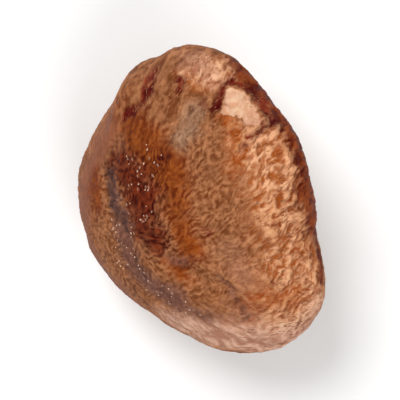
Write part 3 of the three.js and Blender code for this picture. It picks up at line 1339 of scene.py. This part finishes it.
@dataclass(frozen=True)
class GillFlesh(Finish):
    """The gills' finish: cream, paler at the free edge, with a few bruised places."""

    name: str = "gill_flesh"
    root: tuple[float, float, float] = tone(190, 132, 84)
    edge: tuple[float, float, float] = tone(252, 228, 194)
    bruise: tuple[float, float, float] = tone(180, 118, 66)

    def sockets(self, tree: Tree) -> dict[str, Any]:
        """Builds what feeds the shader.

        Args:
            tree: The material's tree.

        Returns:
            Values or links by the name of the shader's socket.
        """
        place = tree.place()
        patch = tree.noise(place, 160.0, 3.0)
        grain = tree.noise(place, 1400.0, 2.0)
        rise = tree.number("rise")
        colour = tree.mixed((rise * 0.9 + grain * 0.2).step(0.1, 1.0), self.root, self.edge)
        colour = tree.mixed(patch.step(0.60, 0.74) * rise * 0.6, colour, self.bruise)
        return {
            "Base Color": colour,
            "Roughness": 0.62 + grain * 0.15,
            "Subsurface Weight": 0.12,
            "Subsurface Radius": (0.002, 0.0012, 0.0006),
            "Normal": tree.bump(grain, 0.06 * MM, 0.6),
        }


# ---------------------------------------------------------------- the stem


@dataclass
class Stem:
    """The short fibrous stem, from inside the cap to its trimmed end."""

    skin: Skin
    columns: int = 264
    rings_down: int = 76
    rings_on_end: int = 26
    girth_ring: int = 40  # the ring whose girth the fibres are spread round
    grooves: float = 0.20  # millimetres, as are the next ones
    knobs: float = 0.35
    torn: float = 0.28
    hidden: tuple[float, ...] = (4.4, 2.2)  # rings inside the cap's flesh, above the first one

    def build(self) -> bpy.types.Object:
        """Makes the stem's mesh with its relief and the values its finish reads.

        Returns:
            The stem.
        """
        s = self.skin
        side = np.linspace(s.gills_to - 0.6 * MM, s.cut_rim_at, self.rings_down, endpoint=False)
        end = np.linspace(s.cut_rim_at, s.end_at - 0.4 * MM, self.rings_on_end)
        rows = np.concatenate([side, end])
        net = Sweep(s.sweep(rows, self.columns), rows)
        mm = net.points / MM
        noise = Noise(SEED + 1)
        ring = net.points[self.girth_ring]
        girth = np.linalg.norm(ring - ring.mean(0), axis=1).mean()
        chart = net.chart(girth) / MM
        sway = [noise.at(mm / 4.0), noise.at(mm / 4.0 + 20.0), noise.at(mm / 5.0 + 40.0)]
        swayed = (chart + np.stack(sway, 2) * 0.7) * np.array([1.1, 1.1, 0.16])
        fibre = np.clip(np.abs(noise.layered(swayed, 3)) * 2.0, 0.0, 1.0)
        on_end = blend_in(net.distance, s.cut_rim_at - 0.8 * MM, s.cut_rim_at + 0.6 * MM)
        relief = self.grooves * (fibre - 0.4) + self.knobs * noise.layered(mm / 5.0 + 9.0, 2)
        relief = relief * (1.0 - on_end) + self.torn * noise.layered(mm * 0.9 + 30.0, 3) * on_end
        points = net.points + net.normals() * (relief * MM)[..., None]
        inside = [points[:1] + s.axis * above * MM for above in self.hidden]
        points = np.concatenate([*inside, points])
        fields = {
            "fibre": fibre,
            "end": on_end,
            "height": (net.distance - s.gills_to) / (s.cut_rim_at - s.gills_to),
            "chart": chart,
        }
        for label, values in fields.items():
            fields[label] = np.concatenate([values[:1]] * len(inside) + [values])
        first = points[0].mean(0) + s.axis * 0.4 * MM
        return closed_mesh("stem", points, first, points[-1].mean(0), fields)


@dataclass(frozen=True)
class StemFlesh(Finish):
    """The stem's finish: cream flesh under brown fibres, tan where it was cut."""

    name: str = "stem_flesh"
    cream: tuple[float, float, float] = tone(232, 194, 152)
    fibre: tuple[float, float, float] = tone(170, 110, 70)
    stained: tuple[float, float, float] = tone(124, 66, 34)
    cut: tuple[float, float, float] = tone(204, 150, 100)

    def sockets(self, tree: Tree) -> dict[str, Any]:
        """Builds what feeds the shader.

        Args:
            tree: The material's tree.

        Returns:
            Values or links by the name of the shader's socket.
        """
        place = tree.place()
        chart = tree.vector("chart")
        streak = tree.noise(tree.stretched(chart, (2.2, 2.2, 0.20)), 1.0, 4.0, 0.6)
        patch = tree.noise(place, 170.0, 3.0)
        grain = tree.noise(place, 1300.0, 3.0)
        fibre, low = tree.number("fibre"), tree.number("height")
        covered = (streak * 1.6 + patch * 0.4 + low * 0.35 - fibre * 0.3).step(0.70, 1.50)
        colour = tree.mixed(covered, self.cream, self.fibre)
        colour = tree.mixed((patch + low * 0.2).step(0.62, 0.85) * 0.7, colour, self.stained)
        cut = tree.mixed(grain.step(0.3, 0.75), self.cut, self.fibre)
        cut = tree.mixed(patch.step(0.5, 0.7) * 0.5, cut, self.stained)
        colour = tree.mixed(tree.number("end").step(0.3, 0.8), colour, cut)
        return {
            "Base Color": colour,
            "Roughness": 0.68 + grain * 0.2,
            "Normal": tree.bump(grain * 0.6 + streak * 0.6, 0.3 * MM, 0.8),
        }


# ---------------------------------------------------------------- flecks and fibres


@dataclass(frozen=True)
class Tufts:
    """Small grains or fibres that lie on the cap's skin, along the way it grew."""

    name: str
    where: str
    density: float  # for each square metre where the cover is full
    shape: tuple[float, float, float]  # length, width and height
    spread: float  # how much their length varies, as a share
    turned: float  # how far they turn from the way the skin grew, in radians
    fineness: int = 1  # the subdivisions of the ball that each is made from

    def build(self, cap: bpy.types.Object, material: bpy.types.Material) -> bpy.types.Object:
        """Grows them on the cap.

        Args:
            cap: The cap.
            material: Their finish.

        Returns:
            All of them as one piece.
        """
        growth = Growth(self.name)
        tree = growth.tree
        guide = growth.input("Cap", "Geometry")
        density = growth.input("Density", "Float", self.density)
        length, width, height = (
            growth.input(label, "Float", size)
            for label, size in zip(("Length", "Width", "Height"), self.shape)
        )
        seed = growth.input("Seed", "Int", SEED)
        finish = growth.input("Finish", "Material", material)

        cover = growth.named(self.where).step(0.15, 0.85)
        points = tree.node(
            "GeometryNodeDistributePointsOnFaces",
            {"distribute_method": "RANDOM"},
            {"Mesh": guide, "Density": density * cover, "Seed": seed},
        )
        normal = Value(tree, points.socket.node.outputs["Normal"])
        index = growth.index()
        # One draw serves all four, so the longest are also the widest and the darkest.
        spin = growth.chance(-self.turned, self.turned, index, seed)
        grow = growth.chance(1.0 - self.spread, 1.0 + self.spread, index, seed)
        slim = growth.chance(0.7, 1.3, index, seed)
        pick = growth.chance(0.0, 1.0, index, seed)
        ball = {"Radius": 0.5, "Subdivisions": self.fineness}
        extra = {
            "Rotation": self._turn(growth, normal, spin),
            "Scale": growth.joined(length * grow, width * slim, height),
        }
        copies = growth.copies(tree.node("GeometryNodeMeshIcoSphere", {}, ball), points, extra)
        copies = growth.stored(copies, "pick", pick, "INSTANCE")
        growth.finish(copies, finish)
        return growth.grow(cap, self.name)

    def _turn(self, growth: Growth, normal: Value, spin: Value) -> Value:
        """Lays each one flat on the skin, along the way it grew, and spins it a little.

        Args:
            growth: The tree.
            normal: The way out of the skin.
            spin: The angle to spin it by.

        Returns:
            The rotation.
        """
        node, align = growth.tree.node, "FunctionNodeAlignRotationToVector"
        downhill = growth.named("downhill", "FLOAT_VECTOR")
        along = node(align, {"axis": "X"}, {"Vector": downhill})
        about_along = {"axis": "Z", "pivot_axis": "X"}
        upright = node(align, about_along, {"Rotation": along, "Vector": normal})
        upwards = (0.0, 0.0, 1.0)
        spun = node("FunctionNodeAxisAngleToRotation", {}, {"Axis": upwards, "Angle": spin})
        local = {"rotation_space": "LOCAL"}
        return node("FunctionNodeRotateRotation", local, {0: upright, 1: spun})


@dataclass(frozen=True)
class TuftFinish(Finish):
    """A pale to brown finish for flecks and fibres, picked for each one."""

    name: str
    pale: tuple[float, float, float]
    dark: tuple[float, float, float]
    share: float  # the share of dark ones

    def sockets(self, tree: Tree) -> dict[str, Any]:
        """Builds what feeds the shader.

        Args:
            tree: The material's tree.

        Returns:
            Values or links by the name of the shader's socket.
        """
        grain = tree.noise(tree.place(), 1800.0, 2.0)
        dark = tree.number("pick").step(0.85 - self.share, 1.15 - self.share)
        colour = tree.mixed(dark, self.pale, self.dark)
        colour = tree.mixed(grain.step(0.35, 0.75) * 0.35, colour, self.dark)
        return {"Base Color": colour, "Roughness": 0.6 + grain * 0.2}


# ---------------------------------------------------------------- the studio and the build


@dataclass(frozen=True)
class Lamp:
    """A soft round light that faces the mushroom."""

    name: str
    at: tuple[float, float, float]  # from the middle of the mushroom
    size: float
    power: float  # watts


LAMPS = (
    Lamp("key", (-0.20, 0.28, 0.55), 0.35, 3.0),
    Lamp("fill", (0.22, -0.42, 0.46), 0.50, 2.2),
)


@dataclass(frozen=True)
class FloorPaint(Finish):
    """The floor's finish: matt and nearly white."""

    name: str = "floor"

    def sockets(self, tree: Tree) -> dict[str, Any]:
        """A colour and a roughness, with nothing added to the tree."""
        return {"Base Color": (0.92, 0.92, 0.915), "Roughness": 0.9}


@dataclass
class Studio:
    """A pale floor, soft lights and a camera that looks straight down."""

    low: Sequence[float]
    high: Sequence[float]
    half_floor: float = 4.0
    floor_drop: float = 0.02 * MM  # how far it lies under the mushroom
    surroundings: float = 0.42  # strength of the light from all round
    lens: float = 180.0
    frame_width: float = 85.0 * MM

    def centre(self) -> np.ndarray:
        """The middle of the mushroom's box."""
        return (np.array(self.low) + np.array(self.high)) / 2

    def floor(self) -> None:
        """Makes the floor."""
        mesh = bpy.data.meshes.new("floor")
        half, z = self.half_floor, -self.floor_drop
        corners = [(-half, -half, z), (half, -half, z), (half, half, z), (-half, half, z)]
        mesh.from_pydata(corners, [], [(0, 1, 2, 3)])
        mesh.materials.append(FloorPaint().material())
        placed("floor", mesh)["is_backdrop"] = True

    def light(self, lamp: Lamp) -> None:
        """Makes one light.

        Args:
            lamp: What it is like.
        """
        data = bpy.data.lights.new(lamp.name, "AREA")
        data.shape, data.size, data.energy = "DISK", lamp.size, lamp.power
        thing = placed(lamp.name, data)
        thing.location = self.centre() + np.array(lamp.at)
        thing.rotation_euler = Vector(lamp.at).to_track_quat("Z", "Y").to_euler()
        thing.visible_camera = False

    def build(self) -> None:
        """Makes the floor, the lights, the surroundings and the camera."""
        self.floor()
        for lamp in LAMPS:
            self.light(lamp)
        scene = bpy.context.scene
        scene.world = bpy.data.worlds.new("studio")
        scene.world.use_nodes = True
        background = scene.world.node_tree.nodes["Background"]
        background.inputs["Color"].default_value = (1.0, 1.0, 1.0, 1.0)
        background.inputs["Strength"].default_value = self.surroundings
        scene.view_settings.view_transform = "Standard"
        data = bpy.data.cameras.new("camera")
        data.lens = self.lens
        data.clip_start, data.clip_end = 0.01, 20.0
        away = self.frame_width * self.lens / data.sensor_width
        scene.camera = placed("camera", data)
        scene.camera.location = (*self.centre()[:2], 0.7 * self.high[2] + away)


FLECKS = Tufts(
    name="flecks",
    where="flecked",
    density=2.6e5,
    shape=(0.60 * MM, 0.36 * MM, 0.16 * MM),
    spread=0.7,
    turned=1.2,
    fineness=2,
)
FIBRES = Tufts(
    name="fibres",
    where="hairy",
    density=1.1e6,
    shape=(1.3 * MM, 0.15 * MM, 0.10 * MM),
    spread=0.5,
    turned=0.5,
)
FLECK_FINISH = TuftFinish("fleck", pale=tone(214, 178, 154), dark=tone(140, 96, 74), share=0.5)
FIBRE_FINISH = TuftFinish("fibre", pale=tone(184, 124, 82), dark=tone(134, 76, 40), share=0.45)


def main() -> None:
    """Builds the mushroom and its studio."""
    logging.basicConfig(level=logging.INFO, format="%(message)s")
    low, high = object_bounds()
    skin = Skin(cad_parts["mushroom"])
    log.info("skin: %s rings, radius %.1f mm", skin.rings.shape, skin.radius / MM)
    cap = Cap(skin, low, high).build()
    cap.data.materials.append(CapSkin().material())
    stem = Stem(skin).build()
    stem.data.materials.append(StemFlesh().material())
    gills = Gills(skin).build(GillFlesh().material())
    flecks = FLECKS.build(cap, FLECK_FINISH.material())
    fibres = FIBRES.build(cap, FIBRE_FINISH.material())
    pieces = {cap: "cap_skin", stem: "stem_flesh", gills: "gill_flesh"}
    pieces |= {flecks: "cap_skin", fibres: "cap_skin"}
    for piece, slot in pieces.items():
        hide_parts("mushroom")
        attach(piece, "root")
        log.info("%s: %d faces", piece.name, len(piece.data.polygons))
    Studio(low, high).build()


if __name__ == "__main__":
    main()
